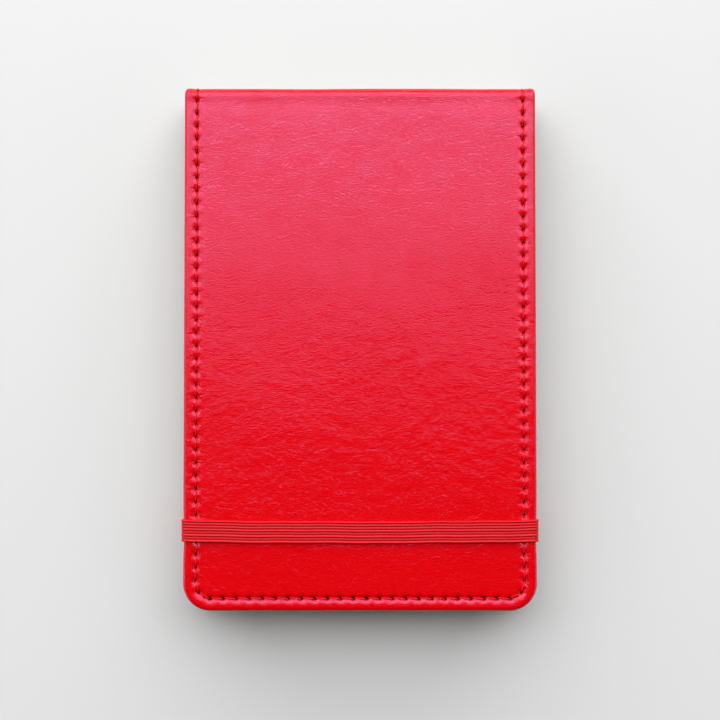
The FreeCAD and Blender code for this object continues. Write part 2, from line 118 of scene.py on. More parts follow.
def new_piece(name, points, faces, material, pattern=None, **marks):
    """A smooth mesh from points and faces, with its flat pattern and marks kept on it."""
    mesh = bpy.data.meshes.new(name)
    mesh.from_pydata(points.tolist(), [], faces)
    mesh.shade_smooth()
    if pattern is not None:
        layer = mesh.attributes.new("pattern", "FLOAT_VECTOR", "POINT")
        layer.data.foreach_set("vector", np.asarray(pattern, np.float32).ravel())
    for mark, values in marks.items():
        layer = mesh.attributes.new(mark, "FLOAT", "POINT")
        layer.data.foreach_set("value", np.asarray(values, np.float32))
    mesh.materials.append(material)
    piece = bpy.data.objects.new(name, mesh)
    bpy.context.collection.objects.link(piece)
    return piece


def add(tree, kind, inputs=None, **settings):
    """One shader node; inputs are numbers, colours or the sockets that feed it."""
    made = tree.nodes.new(kind)
    for key, value in settings.items():
        setattr(made, key, value)
    for key, value in (inputs or {}).items():
        if isinstance(value, bpy.types.NodeSocket):
            tree.links.new(value, made.inputs[key])
        else:
            made.inputs[key].default_value = value
    return made


def colour(code):
    """An sRGB hex colour as the linear numbers that shaders take."""
    parts = [int(code[place:place + 2], 16) / 255 for place in (1, 3, 5)]
    linear = [c / 12.92 if c <= 0.04045 else ((c + 0.055) / 1.055) ** 2.4 for c in parts]
    return (*linear, 1.0)


def new_material(name):
    """A named material, its node tree and its surface shader."""
    material = bpy.data.materials.new(name)
    material.use_nodes = True
    tree = material.node_tree
    return material, tree, tree.nodes["Principled BSDF"]


def set_surface(shader, **values):
    """Set the shader's own sockets, by name with underscores for spaces."""
    for name, value in values.items():
        shader.inputs[name.replace("_", " ")].default_value = value


# Red leatherette: an embossed grain of short wavy creases 0.5 mm apart, which breaks the window
# light into a soft pink sheen, a little uneven where hands have polished it. The creases are painted
# a darker red, painted shade in the grain, and the needle holes are painted near black inside,
# painted shade in the holes.
leatherette, tree, surface = new_material("red leatherette")
set_surface(surface, Roughness=0.17, IOR=1.5, Specular_Tint=(0.28, 0.51, 1.0, 1.0))
flat = add(tree, "ShaderNodeAttribute", attribute_name="pattern")
drift = add(tree, "ShaderNodeTexNoise", {"Vector": flat.outputs["Vector"], "Scale": 0.32,
            "Detail": 2.0})
bent = add(tree, "ShaderNodeVectorMath", {0: drift.outputs["Color"], 1: (2.0, 2.6, 0.0)},
           operation="MULTIPLY")
swayed = add(tree, "ShaderNodeVectorMath", {0: flat.outputs["Vector"],
             1: bent.outputs["Vector"]}, operation="ADD")
creases = add(tree, "ShaderNodeTexWave", {"Vector": swayed.outputs["Vector"], "Scale": 0.68,
              "Distortion": 8.0, "Detail": 1.5, "Detail Scale": 1.6}, bands_direction="Y")
fine = add(tree, "ShaderNodeTexNoise", {"Vector": flat.outputs["Vector"], "Scale": 5.0,
           "Detail": 2.0})
relief = add(tree, "ShaderNodeMath", {0: fine.outputs["Fac"], 1: 0.12,
             2: creases.outputs["Fac"]}, operation="MULTIPLY_ADD")
bump = add(tree, "ShaderNodeBump", {"Strength": 1.0, "Distance": 0.00001,
           "Height": relief.outputs["Value"]})
tree.links.new(bump.outputs["Normal"], surface.inputs["Normal"])
raised = add(tree, "ShaderNodeMapRange", {"Value": relief.outputs["Value"], "From Min": 0.0,
             "From Max": 1.0})
# painted shade: the low parts of the grain are coloured a darker red
painted_grain_shade = add(tree, "ShaderNodeMixRGB", {"Fac": raised.outputs["Result"],
            "Color1": colour("#B80002"), "Color2": colour("#D20002")})
# painted shade: the needle holes are coloured near black inside
pierced = add(tree, "ShaderNodeAttribute", attribute_name="pierced")
hole_shade_colour = add(tree, "ShaderNodeMixRGB", {"Fac": pierced.outputs["Fac"],
          "Color1": painted_grain_shade.outputs["Color"], "Color2": colour("#0C0001")})
tree.links.new(hole_shade_colour.outputs["Color"], surface.inputs["Base Color"])
handled = add(tree, "ShaderNodeTexNoise", {"Vector": flat.outputs["Vector"], "Scale": 0.17,
              "Detail": 3.0, "Roughness": 0.6})
rubbed = add(tree, "ShaderNodeMapRange", {"Value": handled.outputs["Fac"], "From Min": 0.3,
             "From Max": 0.7, "To Min": 0.8, "To Max": 1.25})
polish = add(tree, "ShaderNodeMapRange", {"Value": raised.outputs["Result"], "To Min": 0.45,
             "To Max": rubbed.outputs["Result"]})
shine = add(tree, "ShaderNodeMapRange", {"Value": pierced.outputs["Fac"],
            "To Min": polish.outputs["Result"], "To Max": 0.0})
tree.links.new(shine.outputs["Result"], surface.inputs["Specular IOR Level"])

stitch_inset, stitch_pitch = 3.25, 3.3
border = 6.4                              # width of the finely divided edge with the stitches


def seam(per_stitch):
    """Places along the stitch line: left side down, round the foot, right side up. Gives the
    places, the outward directions, the run in stitches and the pitch."""
    radius = corner - stitch_inset
    side = pattern_end + foot - corner
    arc, base = radius * math.pi / 2, 2 * (half_width - corner)
    whole = 2 * side + 2 * arc + base
    stitches = round(whole / stitch_pitch)
    run = np.linspace(0, whole, stitches * per_stitch + 1)
    ends = np.cumsum([side, arc, base, arc])
    turn_left = math.pi + np.clip(run - ends[0], 0, arc) / radius
    turn_right = -math.pi / 2 + np.clip(run - ends[2], 0, arc) / radius
    on_left = run <= ends[1]
    on_foot = (run > ends[1]) & (run < ends[2])
    nx = np.where(on_left, np.cos(turn_left), np.where(on_foot, 0.0, np.cos(turn_right)))
    nv = np.where(on_left, np.sin(turn_left), np.where(on_foot, -1.0, np.sin(turn_right)))
    x = np.where(on_left, corner - half_width, half_width - corner)
    x = np.where(on_foot, corner - half_width + run - ends[1], x) + radius * nx
    v = corner - foot + radius * nv
    v = v + np.clip(ends[0] - run, 0, None) + np.clip(run - ends[3], 0, None)
    return x, v, nx, nv, run * stitches / whole, whole / stitches


def swell(x, v):
    """The slow unevenness of leatherette glued over board, strongest near the spine's fold."""
    broad = 0.030 * np.sin(x / 8.3 + 0.7) * np.sin(v / 11.0 + 1.1) + 0.018 * np.sin(
        v / 5.2 + x / 13.0)
    near_fold = np.exp(-((v - fold_starts) / 3.0) ** 2)
    dip = -0.1 * np.exp(-((v - fold_starts + 1.9) / 1.6) ** 2)
    return broad + dip + near_fold * (0.05 * np.sin(x / 6.1) + 0.04 * np.sin(x / 3.7 + 2.0))


def pinch(x, v):
    """The elastic draws the cover's sides in a little where it crosses them."""
    return x * (1 - 0.22 / half_width * np.exp(-((v - elastic_y + 1.0) / 4.5) ** 2))


def case_skin(name, at_back, nodes):
    """The leatherette over one cover and half the spine: a stitched border, rolled in round the
    board's edge, and a plain middle."""
    skin_thickness, left_under_hole = 0.8, 0.1
    hole_depth = 0.42
    per_stitch = 12
    # how far in from the edge, and at what height, from the turned-in end up to the top face
    bx, bv, nx, nv, run, pitch = seam(per_stitch)
    rolled = [(3.2, -2.03), (2.0, -2.06), (1.25, -2.08), (0.8, -2.05), (0.45, -1.93),
              (0.2, -1.68), (0.05, -1.35), (0.0, -1.0), (0.06, -0.68), (0.2, -0.41),
              (0.42, -0.2), (0.7, -0.07), (1.0, -0.01)]
    top = [(inset, 0.0) for inset in
           [1.3, 1.55, 1.8, 2.05, *np.arange(2.25, 4.5, 0.125), 4.6, 4.9, 5.3, 5.8, border]]
    off_hole = (run - np.round(run)) * pitch
    lean = np.where(bx < 0, 1, -1) * np.where(np.abs(nv) > 0.7, 1.0, 0.3)
    # each stitch pulls the skin down by its own amount
    tugs = np.random.default_rng(3).uniform(0.5, 1.5, 200)
    tug = tugs[np.round(run).astype(int)]
    rows, marks = [], []
    for inset, level in rolled + top:
        across = inset - stitch_inset
        on_top = 1.0 if level > -0.5 else 0.0
        along_foot = np.abs(nv) > 0.7
        half_hole = np.where(along_foot, 0.52, 0.60)
        half_slit = np.where(along_foot, 0.44, 0.30)
        leaning = across - np.where(along_foot, 0, 0.12 * off_hole)
        hole = np.exp(-(off_hole / half_hole) ** 4 - (leaning / half_slit) ** 4)
        at_stitch = 0.5 + 0.5 * np.cos(2 * math.pi * (run + 0.16 * min(across, 0) * lean))
        spread = 0.8 if across < 0 else 0.65
        pulled = 0.10 + (0.19 + 0.13 * tug * at_stitch) * -math.exp(-(across / spread) ** 2)
        drawn_in = pulled - 0.10 * (across > 0) * (1 - math.exp(-(across / 0.8) ** 2))
        x, v = bx - nx * across, bv - nv * across
        spot = np.hypot(off_hole, across)
        dimple = -0.15 * np.exp(-(spot / 0.95) ** 2)
        way = np.arctan2(across, off_hole + 0.3)
        pleats = 0.05 * spot * np.cos(7 * way + 3 * tug) * np.exp(-(spot / 1.0) ** 2)
        sunk = drawn_in + dimple + pleats - hole_depth * hole + swell(x, v)
        # the needle's hole stops at the board under the leatherette
        level = level + on_top * np.maximum(sunk, left_under_hole - skin_thickness)
        rows.append(np.stack([pinch(x, v), v, level], 1))
        marks.append(hole * on_top)
    columns = len(run)
    faces = [
        (r * columns + c, r * columns + c + 1, (r + 1) * columns + c + 1, (r + 1) * columns + c)
        for r in range(len(rows) - 1) for c in range(columns - 1)
    ]
    # the plain middle
    xs = np.linspace(corner - half_width, half_width - corner, 76)
    vs = np.concatenate([
        np.arange(corner - foot, fold_starts - 0.5, 1.0),
        np.linspace(fold_starts, fold_starts + fold_length, 13),
        np.linspace(fold_starts + fold_length, pattern_end, 8)[1:]])
    gx, gv = np.meshgrid(xs, vs)
    middle = np.stack([pinch(gx, gv).ravel(), gv.ravel(), swell(gx, gv).ravel()], 1)
    first, wide = len(rows) * columns, len(xs)
    faces += [
        (first + r * wide + c, first + r * wide + c + 1,
         first + (r + 1) * wide + c + 1, first + (r + 1) * wide + c)
        for r in range(len(vs) - 1) for c in range(wide - 1)
    ]
    # the middle's rim and the border's inner edge, each with its place along the seam, are joined
    # by triangles, stepping along whichever is behind
    rim = [(r * wide, pattern_end - vs[r]) for r in range(len(vs) - 1, 0, -1)]
    side = pattern_end - vs[0]
    rim += [(c, side + xs[c] - xs[0]) for c in range(wide)]
    rim += [(r * wide + wide - 1, side + xs[-1] - xs[0] + vs[r] - vs[0])
            for r in range(1, len(vs))]
    reach = stitch_inset - border
    x, v = bx + nx * reach, bv + nv * reach
    x, v = np.clip(x, xs[0], xs[-1]), np.clip(v, vs[0], None)
    place = np.where(x <= xs[0], pattern_end - v, np.where(
        x >= xs[-1], side + xs[-1] - xs[0] + v - vs[0], side + x - xs[0]))
    inner = [((len(rows) - 1) * columns + c, place[c]) for c in range(columns)]
    a = b = 0
    while a < len(inner) - 1 or b < len(rim) - 1:
        step_a = b == len(rim) - 1 or (a < len(inner) - 1 and inner[a + 1][1] <= rim[b + 1][1])
        if step_a:
            faces.append((inner[a][0], inner[a + 1][0], first + rim[b][0]))
            a += 1
        else:
            faces.append((inner[a][0], first + rim[b + 1][0], first + rim[b][0]))
            b += 1
    flat_points = np.concatenate(rows + [middle])
    holes = np.concatenate(marks + [np.zeros(len(middle))])
    shaped = fold(*flat_points.T, at_back=at_back)
    pattern = flat_points * (1, 1, 0) + (0, 200.0 if at_back else 0.0, 0)
    # the needle holes' mask, by which the shader paints shade inside them
    piece = new_piece(name, shaped, faces, leatherette, pattern, pierced=holes)
    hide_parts(*nodes)
    # its red isn't bounced onto the pale table
    piece.visible_diffuse = False
    bend_at_fold(piece)


def bend_at_fold(piece):
    """Bake a piece of the case's placement into its mesh."""
    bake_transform(piece)


case_skin("front_leatherette", False, ["front_skin", "spine_skin"])
case_skin("back_leatherette", True, ["back_skin"])


# ---- Stitching
# Twisted polyester thread in the case's own red. Each stitch comes up through one needle hole,
# crosses at a slight slant and dives into the next.

# Polyester thread: two bright plies with a fine lengthwise fibre and a soft shine.
thread_red, tree, surface = new_material("red polyester thread")
set_surface(surface, Base_Color=colour("#D40006"), Roughness=0.4, Specular_IOR_Level=0.35,
            Specular_Tint=(1.0, 0.6, 0.9, 1.0))
fibre = add(tree, "ShaderNodeAttribute", attribute_name="pattern")
strands = add(tree, "ShaderNodeTexWave", {"Vector": fibre.outputs["Vector"], "Scale": 6.0,
              "Distortion": 0.6})
bump = add(tree, "ShaderNodeBump", {"Strength": 0.4, "Distance": 0.00003,
           "Height": strands.outputs["Fac"]})
tree.links.new(bump.outputs["Normal"], surface.inputs["Normal"])


def stitches(name, at_back, on_lining, nodes, body):
    """Every stitch of one seam: two plies twisted round each other along its path."""
    bx, bv, nx, nv, run, pitch = seam(1)
    steps, around = 16, 7
    along = np.linspace(0.03, 0.97, steps)
    spin = np.linspace(0, 2 * math.pi, around, endpoint=False)
    ply, apart, twist_length = 0.125, 0.085, 1.9
    surface_level = -cover_thick if on_lining else -0.16
    outward = -1.0 if on_lining else 1.0
    points, pattern, faces = [], [], []
    for number in range(len(run) - 1):
        x = bx[number] + (bx[number + 1] - bx[number]) * along
        v = bv[number] + (bv[number + 1] - bv[number]) * along
        way = np.array([bx[number + 1] - bx[number], bv[number + 1] - bv[number]])
        way = way / np.linalg.norm(way)
        side = np.array([-way[1], way[0]])
        slant = 0.16 * np.cos(math.pi * along)
        dive = along if bv[number + 1] < bv[number] + 0.1 else 1 - along
        rise = 0.14 - 0.45 * dive ** 7 - 1.0 * (1 - dive) ** 6
        twist = 2 * math.pi * (along * pitch / twist_length + number * 0.37)
        for strand in (0.0, math.pi):
            across = slant + apart * np.cos(twist + strand)
            up = rise + apart * np.sin(twist + strand)
            begin = len(points)
            for step in range(steps):
                for angle in spin:
                    a = across[step] + ply * math.cos(angle)
                    h = surface_level + outward * (up[step] + ply * math.sin(angle))
                    points.append((x[step] + side[0] * a, v[step] + side[1] * a, h))
                    pattern.append((along[step] * pitch, angle, number))
            for step in range(steps - 1):
                for turn in range(around):
                    low = begin + step * around
                    nxt = (turn + 1) % around
                    faces.append((low + turn, low + nxt, low + around + nxt,
                                  low + around + turn))
    flat_points = np.array(points)
    flat_points[:, 0] = pinch(flat_points[:, 0], flat_points[:, 1])
    piece = new_piece(name, fold(*flat_points.T, at_back=at_back), faces, thread_red, pattern)
    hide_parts(*nodes)
    bend_at_fold(piece)


stitches("front_thread", False, False, ["front_stitching", "spine_stitching"], "front_cover")
stitches("front_thread_inside", False, True, ["front_stitching"], "front_cover")
stitches("back_thread", True, False, ["back_stitching"], "back_cover")
stitches("back_thread_inside", True, True, ["back_stitching"], "back_cover")


# ---- Lining
# Thin matt red lining glued inside the covers and over the spine in one sheet, laid over the
# turned-in edge of the leatherette and caught by the same stitches.

# Lining: flat and matt, with a faint mottle and a soft nap.
lining_red, tree, surface = new_material("matt red lining")
set_surface(surface, Roughness=0.62, Specular_Tint=(1.0, 0.7, 0.9, 1.0))
flat = add(tree, "ShaderNodeAttribute", attribute_name="pattern")
nap = add(tree, "ShaderNodeTexNoise", {"Vector": flat.outputs["Vector"], "Scale": 2.5,
          "Detail": 4.0})
shade = add(tree, "ShaderNodeMixRGB", {"Fac": nap.outputs["Fac"], "Color1": colour("#B0121C"),
            "Color2": colour("#BE1822")})
bump = add(tree, "ShaderNodeBump", {"Strength": 0.5, "Distance": 0.00004,
           "Height": nap.outputs["Fac"]})
tree.links.new(shade.outputs["Color"], surface.inputs["Base Color"])
tree.links.new(bump.outputs["Normal"], surface.inputs["Normal"])


def rounded_half_width(v, half, low, radius):
    """Half the width of a sheet at v, with rounded corners at its low end."""
    into = np.clip(low + radius - v, 0, radius)
    return half - radius + np.sqrt(np.clip(radius ** 2 - into ** 2, 0, None))


def corner_lines(low, radius, spacing, high):
    """Cross lines for a sheet: close together round the corners, then evenly spaced."""
    turn = np.linspace(0, math.pi / 2, 9)
    rest = np.arange(low + radius + spacing, high - spacing / 2, spacing)
    return np.concatenate([low + radius - radius * np.cos(turn), rest, [high]])


def thin_sheet(lines, half_widths, levels, columns):
    """Points and faces of a closed sheet: a flat loop at each cross line, capped at the ends.
    levels are its edge's heights from one face to the other, each with its own inset."""
    across = np.linspace(-1, 1, columns)
    loops = []
    for v, half in zip(lines, half_widths):
        low_inset, high_inset = levels[0][1], levels[-1][1]
        loop = [(u * (half - low_inset), v, levels[0][0]) for u in across]
        loop += [(half - inset, v, level) for level, inset in levels[1:-1]]
        loop += [(u * (half - high_inset), v, levels[-1][0]) for u in across[::-1]]
        loop += [(inset - half, v, level) for level, inset in levels[-2:0:-1]]
        loops.append(loop)
    size = len(loops[0])
    faces = [
        (r * size + c, r * size + (c + 1) % size, (r + 1) * size + (c + 1) % size,
         (r + 1) * size + c)
        for r in range(len(loops) - 1) for c in range(size)
    ]
    for start in (0, (len(loops) - 1) * size):
        right = list(range(columns - 1, columns + len(levels) - 1))
        left = [0, *range(size - 1, size - len(levels) + 1, -1), right[-1] + columns - 1]
        faces.append([start + c for c in [*range(columns)] + [right[1], left[1]]])
        for k in range(1, len(levels) - 2):
            faces.append((start + left[k], start + right[k], start + right[k + 1],
                          start + left[k + 1]))
        faces.append([start + left[-2], start + right[-2]] + [
            start + c for c in range(right[-1], left[-1] + 1)])
    return np.array([p for loop in loops for p in loop]), faces


lining_inset = 1.5
for name, at_back, nodes, body in (
    ("front_lining_sheet", False, ["front_lining", "spine_lining"], "front_cover"),
    ("back_lining_sheet", True, ["back_lining"], "back_cover"),
):
    lining_low, lining_corner = lining_inset - foot, corner - lining_inset
    lines = np.concatenate([
        corner_lines(lining_low, lining_corner, 2.0, fold_starts - 4.0),
        np.arange(fold_starts - 3.6, fold_starts, 0.4),
        np.linspace(fold_starts, fold_starts + fold_length, 13),
        np.linspace(fold_starts + fold_length, pattern_end, 6)[1:]])
    halves = rounded_half_width(lines, half_width - lining_inset, lining_low, lining_corner)
    edge = [(-1.95, 0.02), (-2.1, 0.0), (-2.17, 0.03), (-2.2, 0.1)]
    points, faces = thin_sheet(lines, halves, edge, 24)
    pattern = points * (1, 1, 0)
    points[:, 0] = pinch(points[:, 0], points[:, 1])
    piece = new_piece(name, fold(*points.T, at_back=at_back), faces, lining_red, pattern)
    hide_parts(*nodes)
    bend_at_fold(piece)


# ---- Boards
# Grey millboard stiffens both covers and a strip of it the spine. It is sealed in between the
# leatherette and the lining, so only its colour and speckle matter where it could be cut.

# Millboard: dull grey pulp with darker specks.
greyboard, tree, surface = new_material("grey millboard")
set_surface(surface, Roughness=0.9)
speck = add(tree, "ShaderNodeTexNoise", {"Scale": 900.0, "Detail": 3.0})
shade = add(tree, "ShaderNodeMixRGB", {"Fac": speck.outputs["Fac"], "Color1": colour("#7D7A75"),
            "Color2": colour("#B4B0A9")})
tree.links.new(shade.outputs["Color"], surface.inputs["Base Color"])
for node in ("front_board", "back_board", "spine_card"):
    frame["nodes"][node].material_slots[0].material = greyboard


# ---- Paper
# Ivory writing paper, eight leaves folded and sewn to a section, twelve sections to the block.
# The cut edges show every leaf. The endpapers are a heavier sheet of the same colour.

# Ivory paper: warm and matt, faintly clouded.
page_paper, tree, surface = new_material("ivory writing paper")
set_surface(surface, Roughness=0.85, Specular_IOR_Level=0.3)
flat = add(tree, "ShaderNodeAttribute", attribute_name="pattern")
pulp = add(tree, "ShaderNodeTexNoise", {"Vector": flat.outputs["Vector"], "Scale": 1.2,
           "Detail": 6.0})
sheet_tone = add(tree, "ShaderNodeMixRGB", {"Fac": pulp.outputs["Fac"],
                 "Color1": colour("#EDE6D2"), "Color2": colour("#F4EEDD")})
split = add(tree, "ShaderNodeSeparateXYZ", {"Vector": flat.outputs["Vector"]})
# faint grey rules 12 mm apart, a quarter of a millimetre wide, on the faces of the leaves only
half_ruling = 6.0
row = add(tree, "ShaderNodeMath", {0: split.outputs["Y"], 1: half_ruling}, operation="PINGPONG")
on_rule = add(tree, "ShaderNodeMath", {0: row.outputs["Value"], 1: 0.13}, operation="LESS_THAN")
ruled = add(tree, "ShaderNodeAttribute", attribute_name="ruled")
rule = add(tree, "ShaderNodeMath", {0: on_rule.outputs["Value"], 1: ruled.outputs["Fac"]},
           operation="MULTIPLY")
printed = add(tree, "ShaderNodeMixRGB", {"Fac": rule.outputs["Value"],
              "Color1": sheet_tone.outputs["Color"], "Color2": colour("#A9B3B8")})
bump = add(tree, "ShaderNodeBump", {"Strength": 0.3, "Distance": 0.00003,
           "Height": pulp.outputs["Fac"]})
tree.links.new(bump.outputs["Normal"], surface.inputs["Normal"])
# the cut edges are painted with darker streaks along the leaves: painted shade between leaves that
# stand a hair in or out
cut = add(tree, "ShaderNodeAttribute", attribute_name="cut_edge")
along_leaf = add(tree, "ShaderNodeVectorMath", {0: flat.outputs["Vector"],
                 1: (0.05, 0.05, 5.0)}, operation="MULTIPLY")
leaf_line_shade = add(tree, "ShaderNodeTexNoise", {"Vector": along_leaf.outputs["Vector"], "Scale": 1.0,
             "Detail": 3.0, "Roughness": 0.7})
shaded = add(tree, "ShaderNodeMapRange", {"Value": leaf_line_shade.outputs["Fac"], "From Min": 0.42,
             "From Max": 0.62, "To Max": 0.75})
on_cut = add(tree, "ShaderNodeMath", {0: shaded.outputs["Result"], 1: cut.outputs["Fac"]},
             operation="MULTIPLY")
leaf_tone = add(tree, "ShaderNodeMixRGB", {"Fac": on_cut.outputs["Value"],
                "Color1": printed.outputs["Color"], "Color2": colour("#B9AB8B")})
tree.links.new(leaf_tone.outputs["Color"], surface.inputs["Base Color"])

page_low, page_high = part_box("section_02")
page_half = page_high.x / MM
page_foot = page_low.y / MM
page_corner = 5.0
leaves_per_section = 8
line_spacing = 6.0
turn_zone = 3.5                           # length of paper that bends when a bundle is turned
dice = np.random.default_rng(7)


def leaves(name, nodes, low_z, high_z, count, head_y, folded, ruled_faces, hinge=None):
    """A bundle of leaves: each cut edge stands a hair in or out of the next."""
    lines = corner_lines(page_foot, page_corner, line_spacing, head_y)
    if hinge:
        start, end = hinge
        lines = lines[(lines < end - 0.3) | (lines > start + 0.3)]
        lines = np.sort(np.concatenate([lines, np.arange(end, start + 0.01, 0.25)]))
    halves = rounded_half_width(lines, page_half, page_foot, page_corner)
    thick = (high_z - low_z) / count
    section_stand = float(dice.uniform(0.0, 0.18))
    levels = []
    for leaf in range(count):
        stand = section_stand + float(dice.uniform(0.0, 0.2)) if count > 1 else 0.0
        base = low_z + leaf * thick
        levels += [(base + 0.04 * thick, stand + 0.07), (base + 0.25 * thick, stand),
                   (base + 0.75 * thick, stand), (base + 0.96 * thick, stand + 0.07)]
    # exactly on the bundle's two faces, so that they can be told from its edges
    levels[0] = (low_z, levels[0][1])
    levels[-1] = (high_z, levels[-1][1])
    points, faces = thin_sheet(lines, halves, levels, 12)
    inset = {level: stand for level, stand in levels}
    by_level = np.array([inset[z] for z in points[:, 2]])
    at_foot = np.clip(1 - (points[:, 1] - page_foot) / page_corner, 0, 1)
    points[:, 1] += by_level * at_foot
    if folded:
        middle, half = (low_z + high_z) / 2, (high_z - low_z) / 2
        round_off = half - np.sqrt(np.clip(half ** 2 - (points[:, 2] - middle) ** 2, 0, None))
        points[:, 1] -= np.where(points[:, 1] > head_y - 1e-6, round_off * 0.8, 0)
    on_face = (points[:, 2] == low_z) | (points[:, 2] == high_z)
    pattern = points + (0, 0, low_z * 7)
    piece = new_piece(name, points * MM, faces, page_paper, pattern,
                      ruled=on_face * float(ruled_faces), cut_edge=1.0 - on_face)
    piece.data.shade_flat()
    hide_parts(*nodes)
    return piece


bound_head = page_high.y / MM
for number in range(2, 13):
    node = f"section_{number:02d}"
    low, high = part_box(node)
    section = leaves(f"paper_section_{number}", [node], low.z / MM, high.z / MM,
                     leaves_per_section, bound_head, True, number == 2)
    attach(section, "back_cover")

for name, nodes, joint_name, count, slot_name, ruled_faces in (
    ("turning_section", ["section_01", "section_01_fold"], "first_pages_turn",
     leaves_per_section, "page_paper", True),
    ("turning_flyleaf", ["front_flyleaf", "front_flyleaf_strip"], "flyleaf_turn", 1, "endpaper",
     False),
):
    low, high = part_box(nodes[0])
    joint = [j for j in frame["joints"] if j["name"] == joint_name][0]
    start = joint["pos_m"][1] / MM
    end = start - turn_zone
    turned = leaves(name, nodes, low.z / MM, high.z / MM, count, bound_head,
                    count > 1, ruled_faces, hinge=(start, end))
    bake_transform(turned)

for node in ("back_flyleaf", "back_pastedown"):
    low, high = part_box(node)
    paper = leaves(f"paper_{node}", [node], low.z / MM, high.z / MM, 1,
                   bound_head, False, False)
    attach(paper, "back_cover")


# ---- Binding
# The folds are glued, covered with open cotton mull and lined with brown kraft paper, through
# which the twelve sections show as low ridges.

# Kraft paper: matt brown with paler fibres.
kraft, tree, surface = new_material("brown kraft paper")
set_surface(surface, Roughness=0.8)
flat = add(tree, "ShaderNodeAttribute", attribute_name="pattern")
threads = add(tree, "ShaderNodeTexNoise", {"Vector": flat.outputs["Vector"], "Scale": 1.5,
              "Detail": 6.0})
shade = add(tree, "ShaderNodeMixRGB", {"Fac": threads.outputs["Fac"],
            "Color1": colour("#9A7450"), "Color2": colour("#BE9A70")})
tree.links.new(shade.outputs["Color"], surface.inputs["Base Color"])
bump = add(tree, "ShaderNodeBump", {"Strength": 0.4, "Distance": 0.00004,
           "Height": threads.outputs["Fac"]})
tree.links.new(bump.outputs["Normal"], surface.inputs["Normal"])

low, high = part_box("spine_liner")
section_thickness, ridge_height, skin_allowance = 0.8 * MM, 0.09 * MM, 0.02 * MM
rows, columns = 97, 60
gz, gx = np.meshgrid(np.linspace(low.z, high.z, rows), np.linspace(low.x, high.x, columns),
                     indexing="ij")
block_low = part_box("section_12")[0].z
ridge = np.abs(np.sin(math.pi * (gz - block_low) / section_thickness))
wander = skin_allowance * np.sin(gx / MM / 4.1) * np.sin(gz / MM / 1.7)
front_face = high.y - ridge_height * (1 - ridge) + wander - skin_allowance
outer = np.stack([gx.ravel(), front_face.ravel(), gz.ravel()], 1)
inner = np.stack([gx.ravel(), np.full(gx.size, low.y), gz.ravel()], 1)
points = np.concatenate([outer, inner])
half_count = rows * columns
quads = [(r * columns + c, r * columns + c + 1, (r + 1) * columns + c + 1,
          (r + 1) * columns + c) for r in range(rows - 1) for c in range(columns - 1)]
faces = quads + [tuple(half_count + i for i in reversed(q)) for q in quads]
loop = ([*range(columns)] + [r * columns + columns - 1 for r in range(1, rows)]
        + [(rows - 1) * columns + c for c in range(columns - 2, -1, -1)]
        + [r * columns for r in range(rows - 2, 0, -1)])
faces += [(loop[k], half_count + loop[k], half_count + loop[(k + 1) % len(loop)],
           loop[(k + 1) % len(loop)]) for k in range(len(loop))]
liner = new_piece("kraft_spine_liner", points, faces, kraft, points / MM)
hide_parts("spine_liner")
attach(liner, "back_cover")

# Starched open-weave cotton, dried glue and linen thread: pale, matt and hidden but for the
# ends of the cloth.
for node, code, weave in (
    ("mull", "#E9E5D8", 1400.0), ("spine_glue", "#DCCFA6", 300.0),
    ("sewing_thread", "#E4DBC6", 2500.0),
):
    stuff, tree, surface = new_material(node.replace("_", " "))
    set_surface(surface, Roughness=0.85)
    check = add(tree, "ShaderNodeTexChecker", {"Scale": weave, "Color1": colour(code),
                "Color2": colour("#C9C2AE")})
    tree.links.new(check.outputs["Color"], surface.inputs["Base Color"])
    frame["nodes"][node].material_slots[0].material = stuff


# ---- Elastic
# A flat band woven over rubber cords, whose cords stand up as lengthwise ribs with a fine cross
# weave between. It is stretched over the front cover, and its ends are sewn into the side seams.

# Woven elastic: red, painted a deeper red between the cords and on the band's underside as painted
# shade, brighter along their tops, with a dull yarny shine.
elastic_red, tree, surface = new_material("woven red elastic")
set_surface(surface, Roughness=0.45, Specular_IOR_Level=0.35, Specular_Tint=(1.0, 0.7, 0.9, 1.0))
flat = add(tree, "ShaderNodeAttribute", attribute_name="pattern")
stretched = add(tree, "ShaderNodeVectorMath", {0: flat.outputs["Vector"],
                1: (1.0, 0.25, 1.0)}, operation="MULTIPLY")
yarn = add(tree, "ShaderNodeTexNoise", {"Vector": stretched.outputs["Vector"], "Scale": 6.0,
           "Detail": 3.0})
ribs = add(tree, "ShaderNodeAttribute", attribute_name="raised")
# painted shade: darker red between the cords and under the band
painted_rib_shade = add(tree, "ShaderNodeMixRGB", {"Fac": ribs.outputs["Fac"], "Color1": colour("#980002"),
           "Color2": colour("#CC0004")})
tree.links.new(painted_rib_shade.outputs["Color"], surface.inputs["Base Color"])
bump = add(tree, "ShaderNodeBump", {"Strength": 0.5, "Distance": 0.00004,
           "Height": yarn.outputs["Fac"]})
tree.links.new(bump.outputs["Normal"], surface.inputs["Normal"])

band_width = (elastic_high.y - elastic_low.y) / MM
side_x, top_z = half_width + 0.02, total + 0.03
seat_z = cover_thick - 0.35               # where the band comes out of the side seam
bend = 1.1                                # radius over the cover's edge
step = 0.13
